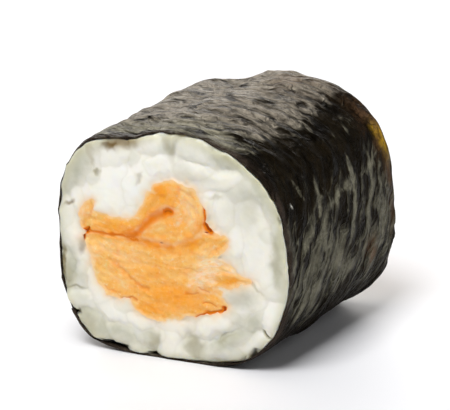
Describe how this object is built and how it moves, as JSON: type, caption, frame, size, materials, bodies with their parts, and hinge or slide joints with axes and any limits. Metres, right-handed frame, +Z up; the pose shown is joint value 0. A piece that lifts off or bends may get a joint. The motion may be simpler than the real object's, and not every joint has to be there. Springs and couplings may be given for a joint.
{
  "type": "smoked salmon hosomaki",
  "caption": "Thin sushi roll cut across: nori wrapped round white rice, with folded slices of smoked salmon in the middle.",
  "frame": {"origin": "on the floor, below the middle of the piece", "axes": "+Y along the roll, from the cut face that shows to the far one; +Z up; +X to the right when facing the near cut"},
  "size_m": [0.0284, 0.0282, 0.026],
  "materials": {
    "nori": "blackish green-brown dried seaweed, satin, finely wrinkled round the roll",
    "rice": "moist boiled short-grain rice, white and translucent",
    "salmon": "moist smoked salmon, pale orange with paler fat lines"
  },
  "bodies": {
    "root": {"nori": "nori", "rice": "rice", "salmon_fold": "salmon", "salmon_slab": "salmon"}
  },
  "joints": []
}
